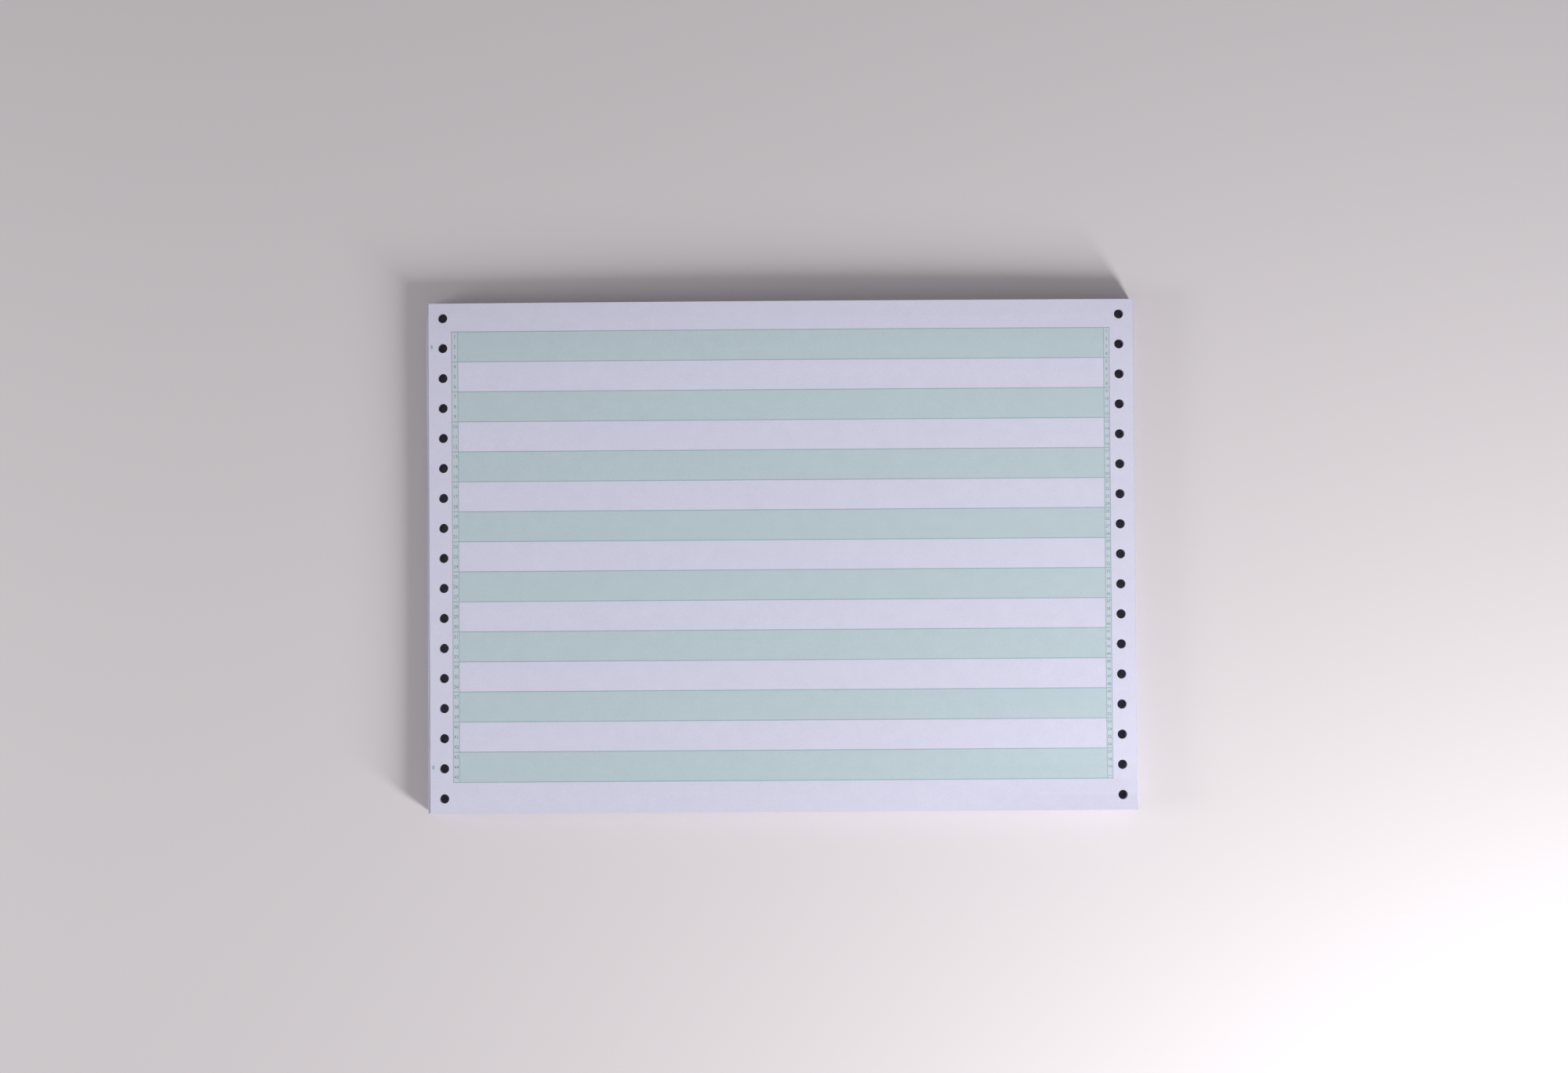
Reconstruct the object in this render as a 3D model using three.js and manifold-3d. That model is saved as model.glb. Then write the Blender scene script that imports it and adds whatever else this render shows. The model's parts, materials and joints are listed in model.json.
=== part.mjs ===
// Fanfold continuous form paper: one long web of wide listing paper, folded to and fro on its
// perforated cross lines into a stack, with a row of sprocket holes punched down each edge.
// Millimetres, +Z up. The stack lies on z = 0 and is centred on the origin, with the width of
// the web along X and the length from fold to fold along Y.
import * as THREE from 'three';
import { mergeVertices, toCreasedNormals } from 'three/addons/utils/BufferGeometryUtils.js';
import Module from 'manifold-3d';

// The web
const webWidth = 298.45; // 11 3/4 in, over both sprocket margins
const foldToFold = 215.9; // 8 1/2 in, one form
const sheetPitch = 0.1; // one sheet of 75 g/m2 bond and the air it traps, pressed in the stack
const sheetCount = 100;

// The folds
const foldLift = 3; // the folds spring open a little, so the stack is this much higher over them
const liftReach = 55; // how far in from each fold the sheets have settled flat again
const foldWander = 0.35; // the folds lie up to this far behind the outermost one
const foldSides = 4; // facets round the nose of each fold

// The sprocket holes
const holeDiameter = 3.97; // 5/32 in
const holePitch = 12.7; // 1/2 in
const holeToEdge = 6; // from the middle of a hole to the edge of the web
const holeSides = 16;

const flatHeight = sheetCount * sheetPitch;
const foldHeight = flatHeight + foldLift;
const halfLength = foldToFold / 2;

// How far a fold lies behind the outermost one: scattered between 0 and foldWander, the same in
// every run.
function wander(level, side) {
  const scattered = Math.sin(level * 12.9898 + side * 78.233) * 43758.5453;
  return foldWander * (scattered - Math.floor(scattered));
}

// One edge of the stack from the table up, seen from the side. Every second sheet ends in a
// fold here, which is a round nose two sheets thick. Where the web starts or ends at this edge,
// its cut edge makes a nose one sheet thick.
function foldedEdge(side, firstFold) {
  const levels = [0];
  for (let level = firstFold; level < sheetCount; level += 2) levels.push(level);
  levels.push(sheetCount);

  const pitch = foldHeight / sheetCount;
  const noses = levels.slice(1).map((top, k) => {
    const radius = ((top - levels[k]) * pitch) / 2;
    return { radius, middle: levels[k] * pitch + radius, root: halfLength - wander(top, side) - radius };
  });

  const points = [];
  noses.forEach(({ radius, middle, root }, k) => {
    const below = noses[k - 1] ?? noses[k];
    points.push(new THREE.Vector2(side * Math.min(root, below.root), middle - radius));
    for (let i = 1; i < foldSides; i++) {
      const angle = -Math.PI / 2 + (i * Math.PI) / foldSides;
      points.push(
        new THREE.Vector2(side * (root + radius * Math.cos(angle)), middle + radius * Math.sin(angle))
      );
    }
  });

  return [...points, ...risingSheet(side, noses[noses.length - 1].root).reverse()];
}

// The top sheet's rise towards one edge, from where it leaves the flat middle of the stack up to
// where the nose of the topmost fold begins.
function risingSheet(side, noseRoot) {
  const steps = 8;
  const foot = halfLength - liftReach;
  const points = [];
  for (let i = 0; i <= steps; i++) {
    const t = i / steps;
    const y = foot + t * (noseRoot - foot);
    points.push(new THREE.Vector2(side * y, flatHeight + foldLift * t * t * (3 - 2 * t)));
  }
  return points;
}

// The section across the folds is drawn with Y to the right and Z up, and runs along X for the
// whole width of the web.
function foldedWeb() {
  const back = foldedEdge(1, 1);
  const front = foldedEdge(-1, 2);
  const outline = new THREE.Shape([...back, ...front.reverse()]);
  const web = new THREE.ExtrudeGeometry(outline, { depth: webWidth, steps: 1, bevelEnabled: false });
  web.translate(0, 0, -webWidth / 2);
  web.applyMatrix4(
    new THREE.Matrix4().makeBasis(
      new THREE.Vector3(0, 1, 0),
      new THREE.Vector3(0, 0, 1),
      new THREE.Vector3(1, 0, 0)
    )
  );
  return web;
}

// Every sheet is punched alike, so a hole runs straight down through the stack. The holes stand
// half a pitch in from both folds, so that their row goes on unbroken over each fold.
function sprocketPunches() {
  const perEdge = Math.round(foldToFold / holePitch);
  const punches = [];
  for (const side of [-1, 1]) {
    for (let row = 0; row < perEdge; row++) {
      const punch = new THREE.CylinderGeometry(
        holeDiameter / 2, holeDiameter / 2, foldHeight * 2, holeSides
      );
      punch.rotateX(Math.PI / 2);
      punch.translate(
        side * (webWidth / 2 - holeToEdge),
        (row - (perEdge - 1) / 2) * holePitch,
        foldHeight / 2
      );
      punches.push(punch);
    }
  }
  return punches;
}

const wasm = await Module();
wasm.setup();

function toSolid(geometry) {
  const bare = geometry.clone();
  bare.deleteAttribute('normal');
  bare.deleteAttribute('uv');
  const merged = mergeVertices(bare, 1e-5);
  return new wasm.Manifold(
    new wasm.Mesh({
      numProp: 3,
      vertProperties: new Float32Array(merged.attributes.position.array),
      triVerts: new Uint32Array(merged.index.array),
    })
  );
}

function toGeometry(solid) {
  const { vertProperties, triVerts } = solid.getMesh();
  const geometry = new THREE.BufferGeometry();
  geometry.setAttribute('position', new THREE.BufferAttribute(vertProperties, 3));
  geometry.setIndex(new THREE.BufferAttribute(triVerts, 1));
  return toCreasedNormals(geometry, Math.PI / 6);
}

const punched = sprocketPunches()
  .map(toSolid)
  .reduce((stack, punch) => stack.subtract(punch), toSolid(foldedWeb()));

const paperStack = new THREE.Mesh(
  toGeometry(punched),
  new THREE.MeshStandardMaterial({ color: 0xe4e4ee, roughness: 0.85, metalness: 0 })
);
paperStack.name = 'paper_stack';

const group = new THREE.Group();
group.add(paperStack);

export default group;
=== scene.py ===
# %% [markdown]
# # A stack of fanfold listing paper
# Listing paper is one long web, folded to and fro on cross perforations until it lies as a
# flat stack. A row of sprocket holes runs down each edge, and pale green bars are printed
# across it so that the eye can follow a line. This lesson dresses the plain solid of such a
# stack in four steps: the folded leaves with their edges and folds, the printed form on top,
# its line numbers, and then the light and the camera. Everything is in metres and stands on
# z = 0, with the width of the web along X and the forms' length along Y.

# %% Load the solid
import json
import math
import random

import bmesh
import bpy
from mathutils import Euler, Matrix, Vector, noise

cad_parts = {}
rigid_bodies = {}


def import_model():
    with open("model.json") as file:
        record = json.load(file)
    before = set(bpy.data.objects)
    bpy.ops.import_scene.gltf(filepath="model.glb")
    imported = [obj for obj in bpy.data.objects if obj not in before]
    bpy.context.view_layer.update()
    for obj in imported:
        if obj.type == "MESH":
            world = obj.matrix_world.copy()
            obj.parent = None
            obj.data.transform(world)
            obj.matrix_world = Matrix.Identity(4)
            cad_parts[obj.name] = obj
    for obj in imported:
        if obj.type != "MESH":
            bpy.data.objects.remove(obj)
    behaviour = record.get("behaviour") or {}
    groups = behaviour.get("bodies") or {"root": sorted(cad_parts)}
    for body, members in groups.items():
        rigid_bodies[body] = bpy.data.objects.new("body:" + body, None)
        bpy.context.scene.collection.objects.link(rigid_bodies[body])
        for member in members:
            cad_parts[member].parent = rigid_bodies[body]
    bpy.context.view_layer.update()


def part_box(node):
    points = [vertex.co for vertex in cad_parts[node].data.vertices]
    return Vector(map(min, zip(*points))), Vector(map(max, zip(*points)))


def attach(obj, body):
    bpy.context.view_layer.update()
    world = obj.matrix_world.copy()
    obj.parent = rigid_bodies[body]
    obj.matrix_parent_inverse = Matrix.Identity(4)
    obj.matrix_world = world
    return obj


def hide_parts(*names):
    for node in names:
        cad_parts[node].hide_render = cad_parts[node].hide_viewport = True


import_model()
MM = 0.001
low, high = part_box("paper_stack")
half_width = (high.x - low.x) / 2
half_length = (high.y - low.y) / 2
print("solid: %.1f x %.1f x %.1f mm" % tuple((high - low) / MM))

# %% [markdown]
# ## How the sheets lie
# Every sheet of the real stack is flat in the middle, but the folds are springy, so the
# sheets part a little towards the two folded edges and the top rises there. It rises most
# halfway along a fold, because the corners press down more easily. The paper is darker along
# the back edge and at the front right corner, so the one droops again by a hair and the other
# curls up. One function holds all that, and every piece is laid with it, so that leaves, top
# form and numbers stay together.

# %% The rise over the folds
SHEETS = 100
flat_height = 10 * MM
SHEET = flat_height / SHEETS  # one sheet with the air under it
fold_lift = high.z - flat_height
lift_reach = 100 * MM
corner_drop = 2.0 * MM
back_droop, droop_reach = 0.95 * MM, 24 * MM
corner_curl, curl_reach, curl_width = 1.5 * MM, 22 * MM, 95 * MM


def lift(x, y):
    """How far the springy folds raise the top of the stack at (x, y)."""
    t = max(0.0, 1 - (half_length - abs(y)) / lift_reach)
    rise = (fold_lift - corner_drop * (x / half_width) ** 2) * t * t
    droop = back_droop * max(0.0, 1 - (half_length - y) / droop_reach) ** 2
    curl = corner_curl * max(0.0, 1 - (half_length + y) / curl_reach) ** 2
    side = max(0.0, 1 - (half_width - x) / curl_width)
    return rise - droop + curl * side * side * (3 - 2 * side)


def laid(x, y, z):
    """Where a point of the flat, unlifted stack comes to lie."""
    return Vector((x, y, z * (1 + lift(x, y) / flat_height)))


print("rise over the middle of a fold: %.1f mm" % (lift(0, half_length) / MM))

# %% [markdown]
# ## Sprocket holes
# The holes are half an inch apart and go right through every sheet, so punches of one kind
# cut both the leaves and the top form. A punch for the leaves is a cylinder with many rings
# down its length, because the wall that it leaves has to follow the sheets when they drift
# sideways later. A Boolean modifier is the tool for a real hole: it keeps both sides of the
# cut closed.

# %% Places and sizes of the holes
HOLES = 17
PUNCH_SIDES = 20
INCH = 25.4 * MM
hole_pitch = INCH / 2
hole_diameter = 3.97 * MM
hole_to_edge = 6 * MM
hole_radius = hole_diameter / 2
hole_line = half_width - hole_to_edge
print("%d holes down each edge, %.1f mm apart" % (HOLES, hole_pitch / MM))


# %% From a bmesh to a piece
def new_piece(name, bm):
    """A finished bmesh as an object at the origin."""
    mesh = bpy.data.meshes.new(name)
    bm.to_mesh(mesh)
    bm.free()
    piece = bpy.data.objects.new(name, mesh)
    bpy.context.scene.collection.objects.link(piece)
    return piece


def cut_upright_edges(bm, height, cuts):
    """Rings round everything that stands: each upright edge over half the height is cut."""
    upright = [e for e in bm.edges if abs(e.verts[0].co.z - e.verts[1].co.z) > height / 2]
    bmesh.ops.subdivide_edges(bm, edges=upright, cuts=cuts, use_grid_fill=True)


# %% Punches and how to use them
def make_punches(bottom, top, rings):
    """All the punches as one object, from height bottom to height top."""
    bm = bmesh.new()
    for side in (-1, 1):
        for hole in range(HOLES):
            y = (hole - (HOLES - 1) / 2) * hole_pitch
            rod = bmesh.ops.create_cone(
                bm, cap_ends=True, segments=PUNCH_SIDES, radius1=hole_radius,
                radius2=hole_radius, depth=top - bottom,
            )
            bmesh.ops.translate(
                bm, verts=rod["verts"], vec=(side * hole_line, y, (top + bottom) / 2)
            )
    cut_upright_edges(bm, top - bottom, rings)
    return new_piece("punches", bm)


def punch(piece, punches):
    """Cuts the punches out of the piece for good, and takes them away."""
    cut = piece.modifiers.new("sprocket holes", "BOOLEAN")
    cut.operation = "DIFFERENCE"
    cut.solver = "EXACT"
    cut.object = punches
    depsgraph = bpy.context.evaluated_depsgraph_get()
    mesh = bpy.data.meshes.new_from_object(piece.evaluated_get(depsgraph))
    piece.modifiers.clear()
    piece.data = mesh
    mesh.name = piece.name
    bpy.data.objects.remove(punches)


# %% [markdown]
# ## The folded leaves
# A pile of 100 loose sheets would cost a million faces that nobody sees. What shows is the
# skin of the pile, so it is one box whose four walls carry two rings of vertices for each
# sheet: one ring in the groove between two sheets, and one on the sheet's own edge. Pushing
# the rings in and out then gives cut edges at the sides, and round noses two sheets thick at
# the folds. A grid gives the box its plan, one extrusion its height, and one subdivision of
# the upright edges all its rings.

# %% A flat grid, and its thickness
def web_grid(columns, rows):
    """A bmesh that holds one flat sheet of the web's width and a form's length."""
    bm = bmesh.new()
    bmesh.ops.create_grid(bm, x_segments=columns, y_segments=rows, size=1)
    bmesh.ops.scale(bm, verts=bm.verts, vec=(half_width, half_length, 1))
    return bm


def thicken(bm, height):
    """Raises a copy of the flat faces by the height, and walls it in."""
    thick = bmesh.ops.extrude_face_region(bm, geom=bm.faces[:], use_keep_orig=True)
    upper = [v for v in thick["geom"] if isinstance(v, bmesh.types.BMVert)]
    bmesh.ops.translate(bm, verts=upper, vec=(0, 0, height))


# %% A box with two rings for each sheet
LEAVES = SHEETS - 1
leaves_top = LEAVES * SHEET


def make_ringed_box():
    bm = web_grid(columns=24, rows=26)
    thicken(bm, leaves_top)
    cut_upright_edges(bm, leaves_top, cuts=2 * LEAVES - 1)
    bmesh.ops.recalc_face_normals(bm, faces=bm.faces)
    return new_piece("folded_leaves", bm)


leaves = make_ringed_box()
punch(leaves, make_punches(bottom=-2 * MM, top=leaves_top + 2 * MM, rings=24))
print("ringed box: %d faces" % len(leaves.data.polygons))

# %% [markdown]
# The sheets of a real stack are never quite in line. The web drifts a hair from side to side
# as it is folded. The knives that slit it wander too, so that lower sheets show past the top
# form, by up to a millimetre at the left and half of that at the right. The folds wander as
# well, and now and then a few sheets lie further back and leave a dark line. Smooth noise
# gives the slow changes and a fixed random table the jumps, so that the stack comes out
# nearly the same every time. A groove lies between two sheets, and the last digit of its
# height decides whose jump it takes. From run to run that shifts some points by up to 0.07 mm.

# %% How far the sheets stray, in millimetres
slow_drift, quick_drift = 0.25, 0.04
slit_left, slit_right = 0.95, 0.5
fold_scatter, fold_wave, fold_parting = 0.3, 0.12, 0.18
edge_inset, groove_inset, side_groove = 0.015, 0.11, 0.05
SETBACKS = 7
setback_least, setback_most = 0.25, 0.6

dice = random.Random(11)
side_jump = [dice.uniform(-1, 1) for _ in range(SHEETS + 1)]
fold_jump = [dice.random() for _ in range(SHEETS + 2)]
setback = [0.0] * (SHEETS + 2)
for level in dice.sample(range(4, SHEETS - 3), SETBACKS):
    for near in range(dice.choice((2, 2, 3, 4))):
        setback[level + near] = dice.uniform(setback_least, setback_most)
print("%d sheets lie further back" % sum(back > 0 for back in setback))


# %% Drift, cut edges and folds
def smooth(x, y, z):
    """Smooth noise, between about -1 and 1. A caller's factors set how fast it changes, and its
    fixed numbers keep one use of the noise apart from another."""
    return noise.noise(Vector((x, y, z)))


def side_drift(level):
    """How far the sheet at this level lies to the right of the top form."""
    depth = (SHEETS - level) / SHEETS
    slow = slow_drift * smooth(depth * 3.1, 4.7, 0)
    return (slow * min(1.0, depth * 6) + quick_drift * side_jump[int(level)]) * MM


def slit_wander(level, side):
    """How far a sheet's cut edge stands out past the top form's, at one side."""
    depth = (SHEETS - level) / SHEETS
    most = slit_left if side < 0 else slit_right
    slow = 1 - 0.5 * depth + 0.35 * smooth(depth * 4.3, 1.9, side)
    return most * slow * min(1.0, depth * 22) * MM


def fold_inset(ring, side, x):
    """How far a ring at a folded edge lies behind the outermost fold. Odd rings are on a
    sheet's own edge. Even ones lie between two sheets: at every second sheet that is the tip
    of a fold."""
    level = ring / 2
    tip_here = (ring // 2) % 2 == (1 if side < 0 else 0)
    fold = int(level) // 2 * 2 + 1 if side < 0 else (int(level) + 1) // 2 * 2
    scatter = fold_scatter * fold_jump[fold] + setback[fold]
    wave = fold_wave * smooth(x * 18, level * 0.21, side * 5.0)
    if ring % 2:
        nose = edge_inset
    else:
        nose = 0.0 if tip_here else groove_inset
    return (scatter + wave + nose) * MM


# %% Push every ring to its place
TOUCHING = 1e-6
rim_reach = hole_radius * 1.1  # takes in the rims of the holes, which drift with the sheets
parting_ease = 5  # sheets over which the parting dies away, above and below


def shape_leaves(piece):
    for v in piece.data.vertices:
        x, y, z = v.co
        ring = round(z / (SHEET / 2))
        level = z / SHEET
        place = laid(x, y, z)
        at_fold = half_length - abs(y) < TOUCHING
        at_side = half_width - abs(x) < TOUCHING
        top_or_bottom = z < TOUCHING or z > leaves_top - TOUCHING
        on_face = top_or_bottom and not (at_fold or at_side)
        if not on_face or abs(abs(x) - hole_line) < rim_reach:
            place.x += side_drift(level)
        if at_side:
            groove = side_groove * MM if ring % 2 == 0 else 0
            place.x += math.copysign(slit_wander(level, math.copysign(1, x)) - groove, x)
        if at_fold:
            place.y -= math.copysign(fold_inset(ring, math.copysign(1, y), x), y)
            part = fold_parting * smooth(x * 9, level * 0.33, y * 40) * MM
            place.z += part * min(1.0, level / parting_ease, (LEAVES - level) / parting_ease)
        v.co = place


shape_leaves(leaves)
print("lowest point %.3f mm" % (min(v.co.z for v in leaves.data.vertices) / MM))

# %% [markdown]
# ## The form on top
# The top sheet is what the eye rests on, so it is a piece of its own, about a tenth of a
# millimetre thick. Its print could be a pattern of shader nodes, but print is flat colour
# with crisp edges, and the sheet's own faces hold that best: a plane cuts the sheet along
# every printed line, and each face then takes the finish that lies at its middle.

# %% Bars, rules and number columns
print_middle = 0.6 * MM  # the print sits this much nearer the back fold
BARS = 8
bar_pitch = INCH
bar_height = INCH / 2  # from the middle of one rule to the middle of the other
rule_width = 0.42 * MM
column_rule = 0.34 * MM
left_column = (-139.45 * MM, -136.85 * MM)
right_column = (136.75 * MM, 139.1 * MM)
print_top = print_middle + (BARS - 0.5) * bar_pitch / 2
bars = [print_top - bar_height / 2 - k * bar_pitch for k in range(BARS)]
print_bottom = bars[-1] - bar_height / 2
print("print from %.1f to %.1f mm" % (print_bottom / MM, print_top / MM))

# %% Two small ticks at the left edge
tick_x = (-148.4 * MM, -147.4 * MM)
ticks_y = (bars[0], bars[-1])
tick_height = 1.6 * MM
print("ticks at %.1f and %.1f mm" % (ticks_y[0] / MM, ticks_y[1] / MM))


# %% Every line that the sheet is cut along
def both_edges(middles, width):
    """The two edges of each line of this width."""
    return [middle + s * width / 2 for middle in middles for s in (1, -1)]


rules_y = both_edges(bars, bar_height)
rules_x = [*left_column, *right_column]
cuts_y = both_edges(rules_y, rule_width) + both_edges(ticks_y, tick_height)
cuts_x = both_edges(rules_x, column_rule) + [*tick_x]
print("cuts: %d across, %d down" % (len(cuts_y), len(cuts_x)))

# %% Which finish a place on the form has
PAPER, BAR, RULE, COLUMN = range(4)


def near_any(place, lines, width):
    return any(abs(place - line) < width / 2 for line in lines)


def finish_at(x, y):
    if tick_x[0] < x < tick_x[1] and near_any(y, ticks_y, tick_height):
        return RULE
    across = rules_x[0] - column_rule / 2 < x < rules_x[-1] + column_rule / 2
    down = print_bottom - rule_width / 2 < y < print_top + rule_width / 2
    if not (across and down):
        return PAPER
    if near_any(x, rules_x, column_rule) or near_any(y, rules_y, rule_width):
        return RULE
    if not left_column[1] < x < right_column[0]:
        return COLUMN
    return BAR if near_any(y, bars, bar_height) else PAPER


# %% Cut the form along its print
form_thickness = 0.95 * SHEET
form_gap = 0.03 * SHEET  # between the leaves and the form


def make_form():
    bm = web_grid(columns=30, rows=34)
    for cuts, normal in ((cuts_x, (1, 0, 0)), (cuts_y, (0, 1, 0))):
        for cut in cuts:
            bmesh.ops.bisect_plane(
                bm, geom=bm.verts[:] + bm.edges[:] + bm.faces[:], dist=1e-7,
                plane_co=Vector(normal) * cut, plane_no=normal,
            )
    for face in bm.faces:
        middle = face.calc_center_median()
        face.material_index = finish_at(middle.x, middle.y)
    thicken(bm, form_thickness)
    bmesh.ops.translate(bm, verts=bm.verts, vec=(0, 0, leaves_top + form_gap))
    bmesh.ops.recalc_face_normals(bm, faces=bm.faces)
    return new_piece("top_form", bm)


top_form = make_form()
punch(top_form, make_punches(bottom=leaves_top - 2 * MM, top=leaves_top + 3 * MM, rings=1))
print("top form: %d faces" % len(top_form.data.polygons))

# %% Lay the form on the leaves
wave_height, free_rise = 0.06, 0.12  # in millimetres
free_reach = 20 * MM


def form_height(x, y):
    """The printed side's height at (x, y): the stack's rise, a soft wave, and a free back edge
    that stands up by a hair."""
    wave = wave_height * smooth(x * 9, y * 11, 2.5) + wave_height
    free = max(0.0, (y - half_length + free_reach) / free_reach) ** 2 * free_rise
    return laid(x, y, flat_height).z + (wave + free) * MM


for v in top_form.data.vertices:
    v.co.z = form_height(v.co.x, v.co.y) + (v.co.z - leaves_top - SHEET)
print("highest point %.2f mm" % (max(v.co.z for v in top_form.data.vertices) / MM))

# %% [markdown]
# ## Line numbers
# Down each side of the print runs a narrow column of line numbers, six to the inch on the
# left and eight to the inch on the right. They are plain numerals, a darker green than the
# rules. Blender's text object draws them. Each is turned into a mesh, and all are given the
# thickness of a film of ink, a hundredth of a millimetre, so that they are closed too.

# %% One numeral
text_size = 1.4  # a text of this size stands about 1 high
ink_film = 0.01 * MM
ink_gap = 0.003 * MM  # between the form and the film


def add_number(bm, text, x, y, height):
    words = bpy.data.curves.new("number", "FONT")
    words.body = text
    words.size = height * text_size
    words.align_x = "CENTER"
    words.align_y = "CENTER"
    words.resolution_u = 2
    holder = bpy.data.objects.new("number", words)
    bpy.context.scene.collection.objects.link(holder)
    bpy.context.view_layer.update()
    before = len(bm.verts)
    bm.from_mesh(holder.to_mesh())
    bm.verts.ensure_lookup_table()
    bmesh.ops.translate(bm, verts=bm.verts[before:], vec=(x, y, 0))
    holder.to_mesh_clear()
    bpy.data.objects.remove(holder)
    bpy.data.curves.remove(words)


# %% Two columns of numerals
def make_numbers():
    bm = bmesh.new()
    columns = ((left_column, 6, 1.5 * MM), (right_column, 8, 1.3 * MM))
    for column, per_inch, height in columns:
        pitch = INCH / per_inch
        middle = sum(column) / 2
        for line in range(round((print_top - print_bottom) / pitch)):
            add_number(bm, str(line + 1), middle, print_top - (line + 0.5) * pitch, height)
    thicken(bm, ink_film)
    for v in bm.verts:
        v.co.z += form_height(v.co.x, v.co.y) + ink_gap
    bmesh.ops.recalc_face_normals(bm, faces=bm.faces)
    return new_piece("line_numbers", bm)


line_numbers = make_numbers()
print("line numbers: %d faces" % len(line_numbers.data.polygons))

# %% [markdown]
# ## Paper and ink
# Bond paper is a felt of fibres. Seen close, it has a soft cloudy look and a fine tooth, and
# the ink only stains it, so bars and rules keep the paper's tooth and take a new colour. One
# function makes them all: two noises vary the colour, and a third one the height. The sides
# of the stack are the white paper made darker, which is painted shade, and get one more
# noise, drawn out level, for lines along the sheets: uneven tone, and painted shade of the
# gaps between sheets. The textures read Object coordinates, so the grain runs on unbroken
# from face to face.

# %% A colour, and a link between two nodes
def linear(r, g, b):
    """An sRGB colour, given from 0 to 255, as the linear one that shaders read."""
    return tuple(
        c / 255 / 12.92 if c / 255 <= 0.04045 else ((c / 255 + 0.055) / 1.055) ** 2.4
        for c in (r, g, b)
    ) + (1.0,)


def link(material, a, out, b, into):
    material.node_tree.links.new(a.outputs[out], b.inputs[into])


print("mid grey is %.3f in linear light" % linear(128, 128, 128)[0])


# %% Noise, and a shade that follows it
def noise_node(material, coords, scale, detail, stretch=None):
    nodes = material.node_tree.nodes
    texture = nodes.new("ShaderNodeTexNoise")
    texture.inputs["Scale"].default_value = scale
    texture.inputs["Detail"].default_value = detail
    if stretch:
        mapping = nodes.new("ShaderNodeMapping")
        mapping.inputs["Scale"].default_value = stretch
        link(material, coords, "Object", mapping, "Vector")
        link(material, mapping, "Vector", texture, "Vector")
    else:
        link(material, coords, "Object", texture, "Vector")
    return texture


def shade(material, colour_node, texture, least, most):
    """Multiplies a colour by a grey from least to most, as the texture goes from low to high."""
    nodes = material.node_tree.nodes
    grey = nodes.new("ShaderNodeMapRange")
    grey.inputs["From Min"].default_value = 0.3
    grey.inputs["From Max"].default_value = 0.7
    grey.inputs["To Min"].default_value = least
    grey.inputs["To Max"].default_value = most
    link(material, texture, "Fac", grey, "Value")
    scaled = nodes.new("ShaderNodeVectorMath")
    scaled.operation = "SCALE"
    link(material, colour_node, 0, scaled, 0)
    link(material, grey, "Result", scaled, "Scale")
    return scaled


# %% One recipe for paper and for ink on paper
def paper_finish(name, colour, tone_and_shade_streaks=False):
    material = bpy.data.materials.new(name)
    material.use_nodes = True
    nodes = material.node_tree.nodes
    shader = nodes["Principled BSDF"]
    shader.inputs["Roughness"].default_value = 0.82
    shader.inputs["Specular IOR Level"].default_value = 0.25
    coords = nodes.new("ShaderNodeTexCoord")
    base = nodes.new("ShaderNodeRGB")
    base.outputs[0].default_value = colour
    cloud = noise_node(material, coords, scale=160, detail=3)
    fibre = noise_node(material, coords, scale=1800, detail=2)
    mixed = shade(material, base, cloud, least=0.985, most=1.015)
    mixed = shade(material, mixed, fibre, least=0.97, most=1.03)
    # Lines drawn out level along the sheets: uneven tone, and painted shade of the gaps between
    # sheets.
    if tone_and_shade_streaks:
        sheets = noise_node(material, coords, scale=1, detail=2, stretch=(6, 6, 4200))
        mixed = shade(material, mixed, sheets, least=0.76, most=1.06)
    link(material, mixed, 0, shader, "Base Color")
    tooth = noise_node(material, coords, scale=2600, detail=3)
    bump = nodes.new("ShaderNodeBump")
    bump.inputs["Strength"].default_value = 0.25
    bump.inputs["Distance"].default_value = 0.00006
    link(material, tooth, "Fac", bump, "Height")
    link(material, bump, "Normal", shader, "Normal")
    return material


# %% The finishes of this stack
white_paper = paper_finish("white paper", linear(225, 223, 244))
bar_ink = paper_finish("pale green bar", linear(198, 214, 222))
rule_ink = paper_finish("green rule", linear(167, 192, 200))
column_ink = paper_finish("number column", linear(208, 217, 228))
number_ink = paper_finish("number ink", linear(125, 157, 165))
# The sides are the white paper made darker, as painted shade, with level lines of uneven tone
# and of painted shade between sheets.
shaded_sheet_edges = paper_finish("shaded sheet edges", linear(212, 209, 227), tone_and_shade_streaks=True)

for ink in (white_paper, bar_ink, rule_ink, column_ink):
    top_form.data.materials.append(ink)
line_numbers.data.materials.append(number_ink)
leaves.data.materials.append(shaded_sheet_edges)
print("finishes: %d" % len(bpy.data.materials))

# %% [markdown]
# ## The pieces take the solid's place
# The leaves stand for the solid stack, which is hidden, and the form and its numbers lie on
# them. All ride on the one body.

# %% Ride and replace
pieces = (leaves, top_form, line_numbers)
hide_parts("paper_stack")
for piece in pieces:
    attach(piece, "root")
print("on the body: %s" % ", ".join(piece.name for piece in pieces))

# %% [markdown]
# ## Table, light and camera
# The photograph looks almost straight down on the stack. The light comes in low from the
# lower right, so a soft shadow lies along the upper and left edges, and the front and right
# sides throw a bright band on the table. A tall area lamp gives that, a weak one at the left
# fills the shadow there, and the sky fills the rest.

# %% Table
table_half = 6


def make_floor():
    bm = bmesh.new()
    bmesh.ops.create_grid(bm, x_segments=1, y_segments=1, size=table_half)
    return new_piece("table", bm)


floor = make_floor()
table_top = bpy.data.materials.new("pale table")
table_top.use_nodes = True
table_shader = table_top.node_tree.nodes["Principled BSDF"]
table_shader.inputs["Base Color"].default_value = linear(227, 221, 224)
table_shader.inputs["Roughness"].default_value = 0.6
floor.data.materials.append(table_top)
print("table: %d m across" % (2 * table_half))

# %% A pale distance, for the camera alone
PALE = linear(232, 228, 231)
fade_near, fade_far = 0.41, 0.72


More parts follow.
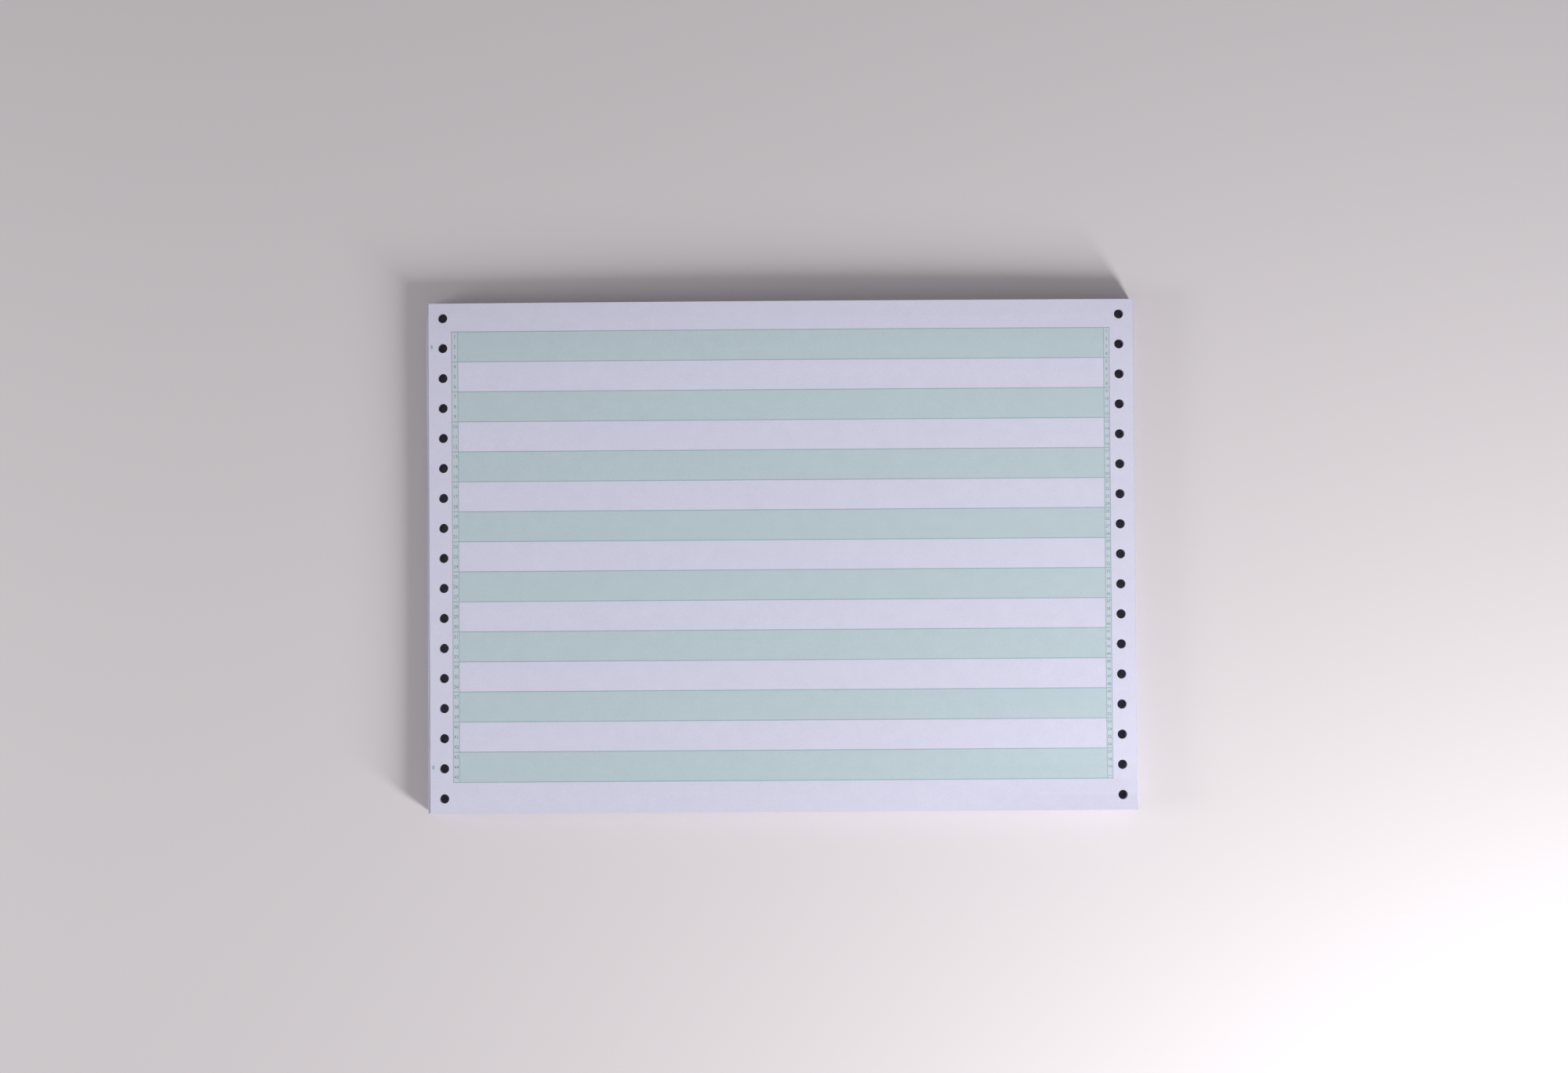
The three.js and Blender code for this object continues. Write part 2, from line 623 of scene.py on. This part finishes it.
def fade_floor(material, near, far):
    """Far from the stack, the camera sees an even pale floor. The light in the scene stays."""
    nodes = material.node_tree.nodes
    place = nodes.new("ShaderNodeTexCoord")
    away = nodes.new("ShaderNodeVectorMath")
    away.operation = "LENGTH"
    link(material, place, "Object", away, 0)
    fade = nodes.new("ShaderNodeMapRange")
    fade.interpolation_type = "SMOOTHSTEP"
    fade.inputs["From Min"].default_value = near
    fade.inputs["From Max"].default_value = far
    link(material, away, "Value", fade, "Value")
    rays = nodes.new("ShaderNodeLightPath")
    seen = nodes.new("ShaderNodeMath")
    seen.operation = "MULTIPLY"
    link(material, fade, "Result", seen, 0)
    link(material, rays, "Is Camera Ray", seen, 1)
    pale = nodes.new("ShaderNodeEmission")
    pale.inputs["Color"].default_value = PALE
    mixed = nodes.new("ShaderNodeMixShader")
    link(material, seen, "Value", mixed, 0)
    link(material, nodes["Principled BSDF"], "BSDF", mixed, 1)
    link(material, pale, "Emission", mixed, 2)
    link(material, mixed, "Shader", nodes["Material Output"], "Surface")


fade_floor(table_top, fade_near, fade_far)
print("the table fades from %.2f to %.2f m out" % (fade_near, fade_far))

# %% A soft sky that the camera sees as pale
world = bpy.data.worlds.new("soft room")
bpy.context.scene.world = world
world.use_nodes = True
world_nodes = world.node_tree.nodes
soft_sky = world_nodes["Background"]
soft_sky.inputs["Color"].default_value = (1, 1, 1, 1)
soft_sky.inputs["Strength"].default_value = 0.29
seen_sky = world_nodes.new("ShaderNodeBackground")
seen_sky.inputs["Color"].default_value = PALE
which_sky = world_nodes.new("ShaderNodeMixShader")
link(world, world_nodes.new("ShaderNodeLightPath"), "Is Camera Ray", which_sky, 0)
link(world, soft_sky, "Background", which_sky, 1)
link(world, seen_sky, "Background", which_sky, 2)
link(world, which_sky, "Shader", world_nodes["World Output"], "Surface")
print("sky strength: %.2f" % soft_sky.inputs["Strength"].default_value)


# %% Two lamps
def add_lamp(name, wide, tall, energy, bearing, height, distance):
    """An area lamp that looks at the stack. Bearing and height are angles in degrees."""
    data = bpy.data.lights.new(name, "AREA")
    data.shape = "RECTANGLE"
    data.size = wide
    data.size_y = tall
    data.energy = energy
    lamp = bpy.data.objects.new(name, data)
    bpy.context.scene.collection.objects.link(lamp)
    bearing, height = math.radians(bearing), math.radians(height)
    level = distance * math.cos(height)
    lamp.location = (
        level * math.cos(bearing), level * math.sin(bearing), distance * math.sin(height)
    )
    lamp.rotation_euler = (-lamp.location).to_track_quat("-Z", "Y").to_euler()


add_lamp(
    "front lamp", wide=0.17, tall=0.53, energy=8.3, bearing=-47, height=28.5, distance=0.93
)
add_lamp(
    "left lamp", wide=0.35, tall=0.25, energy=1.9, bearing=-171, height=25, distance=0.98
)
print("lamps: %d" % len(bpy.data.lights))

# %% [markdown]
# The camera's height, a metre and a half, is a choice: from further off, through a longer
# lens, the stack would look nearly the same. Its place over the table, its tilt and its lens
# then follow from the 34 sprocket holes, which they bring to within a pixel of where the
# photograph has them.

# %% Camera
tilt_degrees = (1.3696, 0.1804, -0.3881)
camera_data = bpy.data.cameras.new("camera")
camera_data.sensor_width = 36
camera_data.lens = 81.41
camera = bpy.data.objects.new("camera", camera_data)
bpy.context.scene.collection.objects.link(camera)
camera.location = (0.00536, -0.02763, 1.5105)
camera.rotation_euler = Euler([math.radians(angle) for angle in tilt_degrees])
bpy.context.scene.camera = camera
bpy.context.scene.view_settings.view_transform = "Standard"
print("camera: %.2f m above the table" % camera.location.z)
